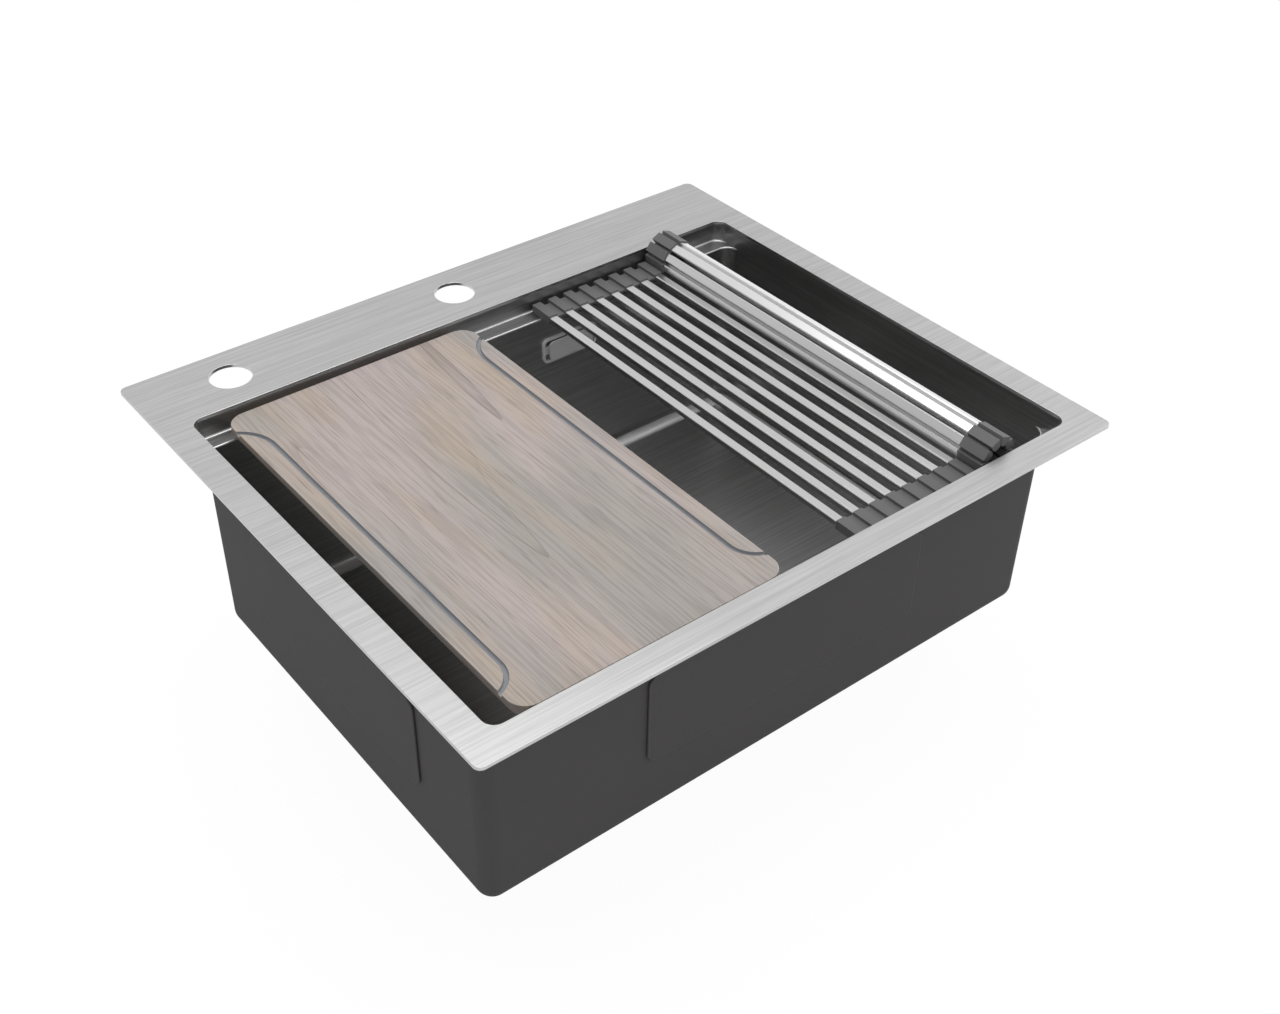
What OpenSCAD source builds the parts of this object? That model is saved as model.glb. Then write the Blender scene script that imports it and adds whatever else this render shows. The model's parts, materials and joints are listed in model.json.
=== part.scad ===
// Workstation kitchen sink: a drop-in steel bowl with front and back ledges that carry
// a cutting board and a roll-up rack, an overflow on the back wall and a basket waste.
// The origin is the centre of the rim on the worktop plane, X to the right, Y to the back.

/* [Rim] */
// Width of the rim plate
rim_w = 590; // [560:5:660]
// Depth of the rim plate, front to back
rim_d = 510; // [480:5:560]
// Thickness of the rim plate
rim_t = 3; // [2:0.5:5]
// Radius of the rim's outer corners
rim_r = 6; // [2:1:20]
// Width of the rim at each side
side_band = 25; // [22:1:35]
// Width of the rim at the front
front_band = 23.5; // [20:0.5:35]
// Width of the tap deck at the back
back_band = 75.5; // [70:0.5:95]
// Radius of the opening's corners
opening_r = 10; // [4:1:11]
// Diameter of each tap hole
tap_hole_d = 35; // [30:1:38]
// Distance of the tap holes from the back edge
tap_inset = 37; // [30:1:45]
// Distance between the two tap holes
tap_pitch = 215; // [120:5:225]

/* [Seal] */
// Thickness of the foam strip under the rim
seal_t = 1; // [0.5:0.5:2]
// Width of the foam strip
seal_w = 8; // [5:1:9]
// Distance of the foam strip from the rim's edge
seal_inset = 1; // [0.5:0.5:2]

/* [Bowl] */
// Depth from the rim's top to the floor
bowl_depth = 189.5; // [150:0.5:230]
// Thickness of the sheet steel
sheet_t = 1; // [0.8:0.1:1.5]
// Depth of the ledges below the rim's top
ledge_drop = 20; // [19:0.5:30]
// Width of the front ledge
front_ledge = 16.1; // [12:0.1:25]
// Width of the back ledge
back_ledge = 15.3; // [12:0.1:25]
// Radius of the upright corners and of the floor's edges
bowl_r = 12; // [11:0.5:25]
// Thickness of the sound-deadening coat outside
coat_t = 0.6; // [0.4:0.1:1]

/* [Sound pads] */
// Thickness of the rubber pads
pad_t = 2.5; // [1:0.5:4]
// Radius of the pads' corners
pad_r = 10; // [4:1:20]
// Height of the pads on the walls
pad_h = 85; // [50:5:110]
// Drop of the wall pads' top edges below the rim's top
pad_drop = 48; // [45:1:60]
// Width of the front and back pads
wide_pad_w = 266; // [180:2:300]
// Width of the side pads
side_pad_w = 228; // [150:2:260]
// Width of each floor pad
floor_pad_w = 150; // [80:5:170]
// Depth of each floor pad
floor_pad_d = 260; // [150:5:300]

/* [Overflow] */
// Distance of the overflow from the sink's centre line
overflow_x = 82.6; // [60:0.2:120]
// Drop of the overflow's centre below the rim's top
overflow_drop = 54.6; // [48:0.2:70]
// Width of the overflow's frame
frame_w = 58.5; // [54:0.5:64]
// Height of the overflow's frame
frame_h = 24.6; // [22:0.2:30]
// Width of the overflow's cover plate
cover_w = 47; // [46:0.5:50]
// Height of the overflow's cover plate
cover_h = 18.7; // [16:0.1:19]
// Outside radius of the hose's ribs
hose_r = 12; // [11:0.5:13]
// Radius of the hose's bore
hose_bore_r = 8.5; // [7:0.5:9]
// Length of one rib of the hose
rib_pitch = 5; // [4:0.5:8]
// Radius of the hose's bend
bend_r = 45; // [35:1:60]

/* [Waste] */
// Diameter of the hole in the bowl's floor
waste_hole_d = 90; // [88:1:94]
// Diameter of the flange that shows in the bowl
flange_d = 113; // [108:1:118]
// Outside diameter of the outlet
outlet_d = 47.8; // [38:0.2:50]
// Length of the outlet below the waste's body
outlet_l = 34; // [30:1:60]

/* [Clips] */
// Thickness of the worktop that the clips are set for
worktop_t = 12; // [12:1:20]
// Reach of a clip's arm from its stud
arm_l = 28; // [20:1:32]
// Diameter of a clip's stud
stud_d = 5; // [4:0.5:6]

/* [Board] */
// Share of the opening's width that the cutting board takes
board_share = 0.42; // [0.3:0.01:0.43]
// Thickness of the cutting board
board_t = 14.7; // [12:0.1:18]
// Gap from the board to the bowl's left side
board_gap = 25.4; // [10:0.2:27]
// Radius of the board's corners
board_r = 15; // [5:1:20]
// Width of the juice grooves
groove_w = 4; // [3:0.5:6]
// Depth of the juice grooves
groove_depth = 3; // [2.5:0.1:5]
// Distance of the grooves from the board's sides
groove_inset = 15.6; // [12:0.2:18]

/* [Rack] */
// Number of bars that lie flat
flat_bars = 9; // [5:1:10]
// Distance between the flat bars
flat_pitch = 16.75; // [14:0.25:17]
// Distance between the bars of the rolled end, laid flat
roll_pitch = 10; // [9.9:0.1:10.2]
// Width of a steel bar
bar_w = 7.5; // [6:0.5:8]
// Height of a steel bar
bar_h = 5.4; // [4:0.2:6]
// Wall of a steel bar
bar_wall = 0.8; // [0.5:0.1:1.2]
// Width of the slope along a steel bar's edges
bar_edge = 0.7; // [0.6:0.1:1]
// Width of a silicone sleeve
sleeve_w = 8.7; // [8.4:0.1:8.8]
// Height of a silicone sleeve
sleeve_h = 7.7; // [7:0.1:7.8]
// Length of a silicone sleeve
sleeve_l = 25; // [15:1:35]

/* [Hidden] */
$fn = 48;

// Every cut runs past the face that it opens by this much
overrun = 1;
// What lifts off keeps this distance from its seat
rest_gap = 0.3;
// A shaft keeps this distance from its bore
fit_gap = 0.05;

// Heights and plan of the rim and the bowl
rim_bottom = seal_t;
rim_top = rim_bottom + rim_t;
opening_w = rim_w - 2 * side_band;
opening_d = rim_d - front_band - back_band;
opening_y = (front_band - back_band) / 2;
ledge_z = rim_top - ledge_drop;
floor_z = rim_top - bowl_depth;
bowl_w = opening_w;
bowl_d = opening_d - front_ledge - back_ledge;
bowl_y = opening_y + (front_ledge - back_ledge) / 2;
front_wall_y = bowl_y - bowl_d / 2;
back_wall_y = bowl_y + bowl_d / 2;
shell_t = sheet_t + coat_t;
shell_bottom = floor_z - shell_t;
tap_y = rim_d / 2 - tap_inset;

// Places of the pads on the walls and under the floor
pad_z = rim_top - pad_drop - pad_h / 2;
side_pad_y = bowl_y;
back_pad_gap = 14;
floor_pad_gap = 17;

// Parts of the overflow, from the bowl to the hose
overflow_z = rim_top - overflow_drop;
slot_w = 44;
slot_h = 12;
frame_t = 2.2;
frame_band = 2.2;
frame_r = 6;
tab_t = 1;
tab_h = 8;
tab_inner = 10;
cover_t = 1.5;
cover_r = 4;
cover_gap = 2;
post_r = 1.5;
post_x = 13;
screw_x = 19.5;
screw_r = 1.5;
screw_l = 18;
screw_head_r = 2.4;
screw_head_t = 1.3;
gasket_t = 2;
gasket_w = 62;
gasket_h = 30;
gasket_r = 6;
housing_w = 50;
housing_h = 22;
housing_l = 27;
housing_wall = 2;
housing_r = 5;
boss_r = 3.8;
boss_l = 15;
nozzle_r = 11;
nozzle_l = 22;
gasket_y = back_wall_y + shell_t;
back_pad_x = overflow_x - gasket_w / 2 - back_pad_gap - wide_pad_w / 2;
housing_y = gasket_y + gasket_t;
hose_y = housing_y + housing_l - nozzle_r;
hose_top_z = overflow_z - housing_h / 2 - nozzle_l;
nut_r = 16;
nut_l = 16;
nut_grip = 6;
nut_groove_r = 0.8;
nut_groove_count = 12;

// Parts of the waste, down from the bowl's floor
waste_y = bowl_y;
waste_hole_r = waste_hole_d / 2;
upper_seal_t = 1;
flange_t = 1.2;
cup_gap = 1.5;
cup_r = waste_hole_r - cup_gap;
cup_wall = 1.2;
shoulder_drop = 24.5;
shoulder_w = 4.3;
cup_drop = 34;
drain_hole_r = 4.5;
drain_ring_r = 22;
drain_holes = 8;
lower_seal_t = 3;
lower_seal_w = 13;
body_flange_t = 4;
body_r = 50;
body_wall = 3.5;
body_l = 35;
cone_l = 12;
outlet_r = outlet_d / 2;
outlet_wall = 3.4;
screw_shank_r = 3;
screw_cap_r = 6;
screw_cap_t = 3.6;
screw_bolt_l = 40;
hub_r = 7;
hub_l = 24;
rib_t = 2.5;
rib_h = 14;
seal_top = floor_z + upper_seal_t;
cup_bottom = floor_z - cup_drop;
shoulder_z = floor_z - shoulder_drop;
body_top = shell_bottom - lower_seal_t;
cone_top = body_top - body_l;
outlet_top = cone_top - cone_l;
outlet_bottom = outlet_top - outlet_l;
port_drop = 22;
port_z = body_top - port_drop;
port_l = 28;

// Route of the hose, in the upright plane through its top and the waste's axis
hose_run = norm([overflow_x, hose_y - waste_y]);
hose_turn = atan2(hose_y - waste_y, overflow_x);
port_end = body_r + port_l;
hose_drop = hose_top_z - port_z - bend_r;
hose_reach = hose_run - bend_r - port_end;
hose_length = hose_drop + bend_r * PI / 2 + hose_reach;
rib_count = floor(hose_length / rib_pitch);
valley_share = 0.84;

// Parts of the basket
basket_r = 36;
basket_wall = 1;
basket_rim_gap = 0.7;
basket_rim_r = cup_r - cup_wall - basket_rim_gap;
basket_rim_t = 1;
basket_sink = 0.4;
basket_top = floor_z - basket_sink;
basket_bottom = cup_bottom + cup_wall + screw_cap_t + rest_gap;
basket_seal_t = 3;
basket_hole_r = 2.2;
basket_holes = 16;
basket_side_drop = 12;
floor_hole_r = 2.4;
floor_rings = 2;
first_ring_share = 0.2;
knob_stem_r = 3;
knob_r = 9;
knob_t = 5;
knob_rise = 3;
knob_top = floor_z + knob_rise;

// Places of the clips: two at each side and two at the back
stud_r = stud_d / 2;
stud_l = 27;
stud_foot_r = 6;
stud_foot_t = 3;
arm_r = 5.5;
arm_t = 2;
toe_h = 3;
toe_l = 3;
nut_hex_r = 4.6;
nut_t = 4;
arm_top = -worktop_t - rest_gap - toe_h;
clip_gap = 0.9;
side_clip_x = bowl_w / 2 + shell_t + arm_r + clip_gap;
back_clip_inset = 17;
back_clip_y = rim_d / 2 - back_clip_inset;
side_clip_share = 0.24;
side_clip_y = rim_d * side_clip_share;
left_clip_x = -tap_pitch / 2;
right_clip_x = 150;
clips = [
    [-side_clip_x, side_clip_y / 2, 90],
    [-side_clip_x, -side_clip_y, 90],
    [side_clip_x, side_clip_y, -90],
    [side_clip_x, -side_clip_y / 2, -90],
    [left_clip_x, back_clip_y, 0],
    [right_clip_x, back_clip_y, 0]
];

// The board lies on the ledges
board_w = opening_w * board_share;
board_front_gap = 4.5;
board_back_gap = 6.5;
board_d = opening_d - board_front_gap - board_back_gap;
board_x = board_w / 2 + board_gap - opening_w / 2;
board_y = opening_y + (board_front_gap - board_back_gap) / 2;
board_bottom = ledge_z + rest_gap;
grip_w = 10;
grip_h = 8;
groove_back_r = 36;
groove_front_r = 24;
groove_sweep = 88;
groove_back_stop = 52;
groove_front_stop = 45;

// The rack: flat bars, then the links of the rolled end with the angle folded at each
fold_angles = [20, 42, 50, 48, 47, 27, 45];
roll_links = len(fold_angles);
rack_gap = 4.2;
rack_front_gap = 4.5;
rack_back_gap = 2.5;
rack_d = opening_d - rack_front_gap - rack_back_gap;
rack_y = opening_y + (rack_front_gap - rack_back_gap) / 2;
bar_z = ledge_z + rest_gap + sleeve_h / 2;
last_flat_x = opening_w / 2 - rack_gap - sleeve_w / 2 - roll_links * roll_pitch;
sleeve_end_t = 1;
web_t = 2.4;
web_inset = 3;
hinge_web_t = 1;
hinge_web_tip = 0.35;
taper_w = 1.8;
taper_h = 3.2;

function travel(i) = i == 0 ? 0 : travel(i - 1) + fold_angles[i - 1];
function along(angle, length) = length * [cos(angle), sin(angle)];
function pivot(i) =
    i == 1 ? [last_flat_x + roll_pitch / 2, bar_z] : pivot(i - 1) + along(travel(i - 1), roll_pitch);

// Flat shapes and sweeps that several sub-parts share

module rounded(w, d, r) {
    square([w, d - 2 * r], center = true);
    square([w - 2 * r, d], center = true);
    for (x = [-1, 1], y = [-1, 1])
        translate([x * (w / 2 - r), y * (d / 2 - r)])
            circle(r);
}

module slab(w, d, h, r) {
    linear_extrude(h)
        rounded(w, d, r);
}

// An upright slab: its thickness runs from y towards the back
module upright(w, h, t, r) {
    rotate([90, 0, 0])
        translate([0, 0, -t])
            slab(w, h, t, r);
}

// Carries a section around a rounded rectangle; x in the section starts at the corner's axis
module around(w, d, r) {
    for (i = [0:3]) {
        a = i % 2 == 0 ? w : d;
        b = i % 2 == 0 ? d : w;
        rotate(90 * i)
            translate([a / 2 - r, b / 2 - r, 0]) {
                rotate_extrude(angle = 90)
                    children();
                rotate([90, 0, 0])
                    linear_extrude(b - 2 * r)
                        children();
            }
    }
}

module ring(outer_r, inner_r, h) {
    difference() {
        cylinder(h, r = outer_r);
        translate([0, 0, -overrun])
            cylinder(h + 2 * overrun, r = inner_r);
    }
}

// A wall that turns into a floor: radius of the turn, thickness, top and bottom of the inside
module wall_section(r, t, top, bottom) {
    translate([0, bottom + r])
        intersection() {
            difference() {
                circle(r + t);
                circle(r);
            }
            translate([0, -r - t])
                square(r + t);
        }
    translate([r, bottom + r])
        square([t, top - bottom - r]);
}

// Rim and bowl

module rim_deck() {
    color([0.80, 0.80, 0.80])
        difference() {
            translate([0, 0, rim_bottom])
                slab(rim_w, rim_d, rim_t, rim_r);
            translate([0, opening_y, rim_bottom - overrun])
                slab(opening_w, opening_d, rim_t + 2 * overrun, opening_r);
            for (x = [-tap_pitch, 0])
                translate([x, tap_y, rim_bottom - overrun])
                    cylinder(rim_t + 2 * overrun, d = tap_hole_d);
        }
}

module rim_seal() {
    color([0.25, 0.25, 0.26])
        around(rim_w, rim_d, rim_r + seal_w)
            translate([rim_r - seal_inset, 0])
                square([seal_w, rim_bottom]);
}

module overflow_slot(y, t) {
    translate([overflow_x, y - overrun, overflow_z])
        upright(slot_w, slot_h, t + 2 * overrun, slot_h / 2 - overrun);
}

module bowl() {
    color([0.55, 0.55, 0.55])
        difference() {
            union() {
                translate([0, bowl_y, 0])
                    around(bowl_w, bowl_d, bowl_r)
                        wall_section(bowl_r, sheet_t, ledge_z - sheet_t, floor_z);
                translate([0, bowl_y, floor_z - sheet_t / 2])
                    cube([bowl_w - 2 * bowl_r, bowl_d - 2 * bowl_r, sheet_t], center = true);
                difference() {
                    translate([0, opening_y, ledge_z - sheet_t])
                        slab(opening_w + 2 * sheet_t, opening_d + 2 * sheet_t,
                            rim_bottom - ledge_z + sheet_t, opening_r + sheet_t);
                    translate([0, opening_y, ledge_z])
                        slab(opening_w, opening_d, rim_bottom - ledge_z + overrun, opening_r);
                    translate([0, bowl_y, ledge_z - sheet_t - overrun])
                        slab(bowl_w, bowl_d, sheet_t + 2 * overrun, bowl_r);
                }
            }
            translate([0, waste_y, floor_z - sheet_t - overrun])
                cylinder(sheet_t + 2 * overrun, d = waste_hole_d);
            overflow_slot(back_wall_y, sheet_t);
        }
}

module undercoat() {
    color([0.27, 0.27, 0.27])
        difference() {
            union() {
                translate([0, bowl_y, 0])
                    around(bowl_w + 2 * sheet_t, bowl_d + 2 * sheet_t, bowl_r + sheet_t)
                        wall_section(bowl_r + sheet_t, coat_t, ledge_z - sheet_t, floor_z - sheet_t);
                translate([0, bowl_y, shell_bottom + coat_t / 2])
                    cube([bowl_w - 2 * bowl_r, bowl_d - 2 * bowl_r, coat_t], center = true);
            }
            translate([0, waste_y, shell_bottom - overrun])
                cylinder(coat_t + 2 * overrun, d = waste_hole_d);
            overflow_slot(back_wall_y + sheet_t, coat_t);
        }
}

// Sound pads

module pad_colour() {
    color([0.24, 0.24, 0.24])
        children();
}

module pad_front() {
    pad_colour()
        translate([0, front_wall_y - shell_t - pad_t, pad_z])
            upright(wide_pad_w, pad_h, pad_t, pad_r);
}

module pad_back() {
    pad_colour()
        translate([back_pad_x, gasket_y, pad_z])
            upright(wide_pad_w, pad_h, pad_t, pad_r);
}

module side_pad(side) {
    pad_colour()
        translate([side * (bowl_w / 2 + shell_t), side_pad_y, pad_z])
            rotate(-90 * side)
                upright(side_pad_w, pad_h, pad_t, pad_r);
}

module pad_left() {
    side_pad(-1);
}

module pad_right() {
    side_pad(1);
}

module floor_pad(side) {
    pad_colour()
        translate([side * (flange_d / 2 + floor_pad_gap + floor_pad_w / 2), bowl_y, shell_bottom - pad_t])
            slab(floor_pad_w, floor_pad_d, pad_t, pad_r);
}

module pad_floor_left() {
    floor_pad(-1);
}

module pad_floor_right() {
    floor_pad(1);
}

// Overflow

module overflow_frame() {
    color([0.62, 0.62, 0.62])
        translate([overflow_x, back_wall_y, overflow_z]) {
            translate([0, -frame_t, 0])
                difference() {
                    upright(frame_w, frame_h, frame_t, frame_r);
                    translate([0, -overrun, 0])
                        upright(frame_w - 2 * frame_band, frame_h - 2 * frame_band,
                            frame_t + 2 * overrun, frame_r - frame_band);
                }
            for (side = [-1, 1])
                difference() {
                    translate([side * (tab_inner + frame_w / 2 - frame_band) / 2, -tab_t / 2, 0])
                        cube([frame_w / 2 - frame_band - tab_inner, tab_t, tab_h], center = true);
                    translate([side * screw_x, overrun, 0])
                        rotate([90, 0, 0])
                            cylinder(tab_t + 2 * overrun, r = screw_r + fit_gap);
                }
        }
}

module overflow_cover() {
    color([0.66, 0.66, 0.66])
        translate([overflow_x, back_wall_y - tab_t, overflow_z]) {
            translate([0, -cover_gap - cover_t, 0])
                upright(cover_w, cover_h, cover_t, cover_r);
            for (side = [-1, 1])
                translate([side * post_x, 0, 0])
                    rotate([90, 0, 0])
                        cylinder(cover_gap, r = post_r);
        }
}

module overflow_screws() {
    color([0.7, 0.7, 0.7])
        for (side = [-1, 1])
            translate([overflow_x + side * screw_x, back_wall_y - tab_t, overflow_z]) {
                rotate([90, 0, 0])
                    cylinder(screw_head_t, r = screw_head_r);
                rotate([-90, 0, 0])
                    cylinder(screw_l, r = screw_r);
            }
}

module overflow_gasket() {
    color([0.15, 0.15, 0.15])
        translate([overflow_x, gasket_y, overflow_z])
            difference() {
                upright(gasket_w, gasket_h, gasket_t, gasket_r);
                translate([0, -overrun, 0])
                    upright(slot_w, slot_h, gasket_t + 2 * overrun, slot_h / 2 - overrun);
            }
}

module overflow_housing() {
    color([0.12, 0.12, 0.13])
        translate([overflow_x, housing_y, overflow_z]) {
            difference() {
                union() {
                    upright(gasket_w, gasket_h, housing_wall, gasket_r);
                    upright(housing_w, housing_h, housing_l, housing_r);
                    translate([0, hose_y - housing_y, -housing_h / 2 - nozzle_l])
                        cylinder(nozzle_l + housing_wall, r = nozzle_r);
                }
                translate([0, -overrun, 0])
                    upright(housing_w - 2 * housing_wall, housing_h - 2 * housing_wall,
                        housing_l - housing_wall + overrun, housing_r - housing_wall);
                translate([0, hose_y - housing_y, -housing_h / 2 - nozzle_l - overrun])
                    cylinder(nozzle_l + housing_wall + 2 * overrun, r = hose_bore_r);
            }
            for (side = [-1, 1])
                difference() {
                    translate([side * screw_x, 0, 0])
                        rotate([-90, 0, 0])
                            cylinder(boss_l, r = boss_r);
                    translate([side * screw_x, -overrun, 0])
                        rotate([-90, 0, 0])
                            cylinder(boss_l + 2 * overrun, r = screw_r + fit_gap);
                }
        }
}

// The hose is one ribbed tube with its bore. Its frame at each ring is the route's own plane.

function hose_point(s) =
    let (bend_l = bend_r * PI / 2)
    s < hose_drop ? [hose_run, hose_top_z - s, -90] :
    s < hose_drop + bend_l ?
        let (a = (s - hose_drop) / bend_r * 180 / PI)
        [hose_run - bend_r + bend_r * cos(a), port_z + bend_r - bend_r * sin(a), -90 - a] :
    [hose_run - bend_r - (s - hose_drop - bend_l), port_z, -180];

function hose_ring(s, r, sides) =
    let (p = hose_point(s))
    [for (k = [0:sides - 1])
        let (u = r * cos(360 * k / sides), v = r * sin(360 * k / sides))
        let (out = p[0] - u * sin(p[2]), up = p[1] + u * cos(p[2]))
        [
            out * cos(hose_turn) - v * sin(hose_turn),
            waste_y + out * sin(hose_turn) + v * cos(hose_turn),
            up
        ]];

function skin(rings, sides, first, flip) =
    [for (i = [0:rings - 2], k = [0:sides - 1])
        let (a = first + i * sides + k, b = first + i * sides + (k + 1) % sides)
        let (quad = [a, b, b + sides, a + sides])
        each flip ? [[quad[2], quad[1], quad[0]], [quad[3], quad[2], quad[0]]]
            : [[quad[0], quad[1], quad[2]], [quad[0], quad[2], quad[3]]]];

function cap(sides, outer, inner, flip) =
    [for (k = [0:sides - 1])
        let (n = (k + 1) % sides)
        let (quad = [outer + k, outer + n, inner + n, inner + k])
        each flip ? [[quad[2], quad[1], quad[0]], [quad[3], quad[2], quad[0]]]
            : [[quad[0], quad[1], quad[2]], [quad[0], quad[2], quad[3]]]];

hose_sides = 8;
hose_rings = 2 * rib_count + 1;
bore_rings = rib_count + 1;

module overflow_hose() {
    outer = [for (i = [0:hose_rings - 1])
        each hose_ring(hose_length * i / (hose_rings - 1), i % 2 == 0 ? hose_r * valley_share : hose_r, hose_sides)];
    inner = [for (i = [0:bore_rings - 1])
        each hose_ring(hose_length * i / (bore_rings - 1), hose_bore_r, hose_sides)];
    start = len(outer);
    last_outer = start - hose_sides;
    last_inner = start + (bore_rings - 1) * hose_sides;
    color([0.75, 0.75, 0.75])
        polyhedron(
            points = concat(outer, inner),
            faces = concat(
                skin(hose_rings, hose_sides, 0, false),
                skin(bore_rings, hose_sides, start, true),
                cap(hose_sides, 0, start, true),
                cap(hose_sides, last_outer, last_inner, false)
            )
        );
}

// A nut drawn up along Z from the nozzle's side: it grips the nozzle and clears the hose
module hose_nut() {
    color([0.12, 0.12, 0.13])
        difference() {
            cylinder(nut_l, r = nut_r);
            translate([0, 0, -overrun])
                cylinder(nut_l + 2 * overrun, r = nozzle_r + fit_gap);
            translate([0, 0, nut_grip])
                cylinder(nut_l, r = hose_r + rest_gap);
            for (k = [0:nut_groove_count - 1])
                rotate(360 * k / nut_groove_count)
                    translate([nut_r, 0, -overrun])
                        cylinder(nut_l + 2 * overrun, r = nut_groove_r);
        }
}

module hose_nut_top() {
    translate([overflow_x, hose_y, hose_top_z + nut_grip])
        rotate([180, 0, 0])
            hose_nut();
}

module hose_nut_bottom() {
    translate([0, waste_y, port_z])
        rotate(hose_turn)
            translate([port_end - nut_grip, 0, 0])
                rotate([0, 90, 0])
                    hose_nut();
}

// Waste

module waste_flange() {
    color([0.78, 0.78, 0.78])
        translate([0, waste_y, 0])
            difference() {
                rotate_extrude()
                    polygon([
                        [0, cup_bottom],
                        [cup_r - shoulder_w, cup_bottom],
                        [cup_r - shoulder_w, shoulder_z - cup_wall],
                        [cup_r, shoulder_z - cup_wall],
                        [cup_r, seal_top],
                        [flange_d / 2, seal_top],
                        [flange_d / 2, seal_top + flange_t / 2],
                        [flange_d / 2 - flange_t, seal_top + flange_t],
                        [cup_r - cup_wall, seal_top + flange_t],
                        [cup_r - cup_wall, shoulder_z],
                        [cup_r - cup_wall - shoulder_w, shoulder_z],
                        [cup_r - cup_wall - shoulder_w, cup_bottom + cup_wall],
                        [0, cup_bottom + cup_wall]
                    ]);
                translate([0, 0, cup_bottom - overrun])
                    cylinder(cup_wall + 2 * overrun, r = screw_shank_r + fit_gap);
                for (k = [0:drain_holes - 1])
                    rotate(360 * k / drain_holes)
                        translate([drain_ring_r, 0, cup_bottom - overrun])
                            cylinder(cup_wall + 2 * overrun, r = drain_hole_r);
            }
}

module waste_upper_seal() {
    color([0.12, 0.12, 0.12])
        translate([0, waste_y, floor_z])
            ring(flange_d / 2 - flange_t, waste_hole_r, upper_seal_t);
}

module waste_lower_seal() {
    color([0.12, 0.12, 0.12])
        translate([0, waste_y, body_top])
            ring(waste_hole_r + lower_seal_w, waste_hole_r, lower_seal_t);
}

module waste_body() {
    color([0.12, 0.12, 0.13])
        translate([0, waste_y, 0]) {
            difference() {
                union() {
                    rotate_extrude()
                        polygon([
                            [0, outlet_bottom],
                            [outlet_r, outlet_bottom],
                            [outlet_r, outlet_top],
                            [body_r, cone_top],
                            [body_r, body_top - body_flange_t],
                            [waste_hole_r + lower_seal_w, body_top - body_flange_t],
                            [waste_hole_r + lower_seal_w, body_top],
                            [0, body_top]
                        ]);
                    translate([0, 0, port_z])
                        rotate(hose_turn)
                            rotate([0, 90, 0])
                                cylinder(port_end, r = nozzle_r);
                }
                rotate_extrude()
                    polygon([
                        [0, outlet_bottom - overrun],
                        [outlet_r - outlet_wall, outlet_bottom - overrun],
                        [outlet_r - outlet_wall, outlet_top],
                        [body_r - body_wall, cone_top],
                        [body_r - body_wall, body_top + overrun],
                        [0, body_top + overrun]
                    ]);
                translate([0, 0, port_z])
                    rotate(hose_turn)
                        rotate([0, 90, 0])
                            cylinder(port_end + overrun, r = hose_bore_r);
            }
            difference() {
                union() {
                    translate([0, 0, outlet_top - rib_h])
                        cylinder(hub_l, r = hub_r);
                    for (k = [0:1])
                        rotate(90 * k)
                            translate([0, 0, outlet_top - rib_h / 2])
                                cube([2 * outlet_r - outlet_wall, rib_t, rib_h], center = true);
                }
                translate([0, 0, outlet_top - rib_h - overrun])
                    cylinder(hub_l + 2 * overrun, r = screw_shank_r + fit_gap);
            }
        }
}

module waste_screw() {
    color([0.75, 0.75, 0.75])
        translate([0, waste_y, cup_bottom + cup_wall]) {
            difference() {
                cylinder(screw_cap_t, r = screw_cap_r);
                translate([0, 0, screw_cap_t])
                    cube([2 * screw_cap_r + overrun, rib_t / 2, rib_t], center = true);
            }
            translate([0, 0, -screw_bolt_l])
                cylinder(screw_bolt_l, r = screw_shank_r);
        }
}

module basket() {
    color([0.78, 0.78, 0.78])
        translate([0, waste_y, 0])
            difference() {
                rotate_extrude()
                    polygon([
                        [0, basket_bottom],
                        [basket_r, basket_bottom],
                        [basket_r, basket_top - basket_rim_t],
                        [basket_rim_r, basket_top - basket_rim_t],
                        [basket_rim_r, basket_top],
                        [basket_r - basket_wall, basket_top],
                        [basket_r - basket_wall, basket_bottom + basket_wall],
                        [0, basket_bottom + basket_wall]
                    ]);
                for (k = [0:basket_holes - 1])
                    rotate(360 * k / basket_holes)
                        translate([basket_r - basket_wall - overrun, 0, basket_top - basket_side_drop])
                            rotate([0, 90, 0])
                                cylinder(basket_wall + 2 * overrun, r = basket_hole_r);
                for (j = [1:floor_rings], k = [0:6 * j - 1])
                    rotate(360 * k / (6 * j))
                        translate([basket_r * (j + first_ring_share) / (floor_rings + 1), 0, basket_bottom - overrun])
                            cylinder(basket_wall + 2 * overrun, r = floor_hole_r);
            }
}

module basket_seal() {
    color([0.12, 0.12, 0.12])
        translate([0, waste_y, shoulder_z + rest_gap])
            ring(basket_rim_r, basket_r, basket_seal_t);
}

module basket_knob() {
    color([0.75, 0.75, 0.75])
        translate([0, waste_y, 0])
            rotate_extrude()
                polygon([
                    [0, basket_bottom + basket_wall],
                    [knob_stem_r, basket_bottom + basket_wall],
                    [knob_stem_r, knob_top - knob_t],
                    [knob_r - knob_t / 3, knob_top - knob_t],
                    [knob_r, knob_top - knob_t * 2 / 3],
                    [knob_r, knob_top - knob_t / 3],
                    [knob_r - knob_t / 3, knob_top],
                    [0, knob_top]
                ]);
}

// Clips that draw the rim down on the worktop

module clip_studs() {
    color([0.6, 0.6, 0.6])
        for (clip = clips)
            translate([clip[0], clip[1], rim_bottom]) {
                translate([0, 0, -stud_foot_t])
                    cylinder(stud_foot_t, r = stud_foot_r);
                translate([0, 0, -stud_l])
                    cylinder(stud_l, r = stud_r);
            }
}

module clip_nuts() {
    color([0.7, 0.7, 0.7])
        for (clip = clips)
            translate([clip[0], clip[1], arm_top - arm_t - nut_t - fit_gap])
                difference() {
                    cylinder(nut_t, r = nut_hex_r, $fn = 6);
                    translate([0, 0, -overrun])
                        cylinder(nut_t + 2 * overrun, r = stud_r + fit_gap);
                }
}

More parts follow.
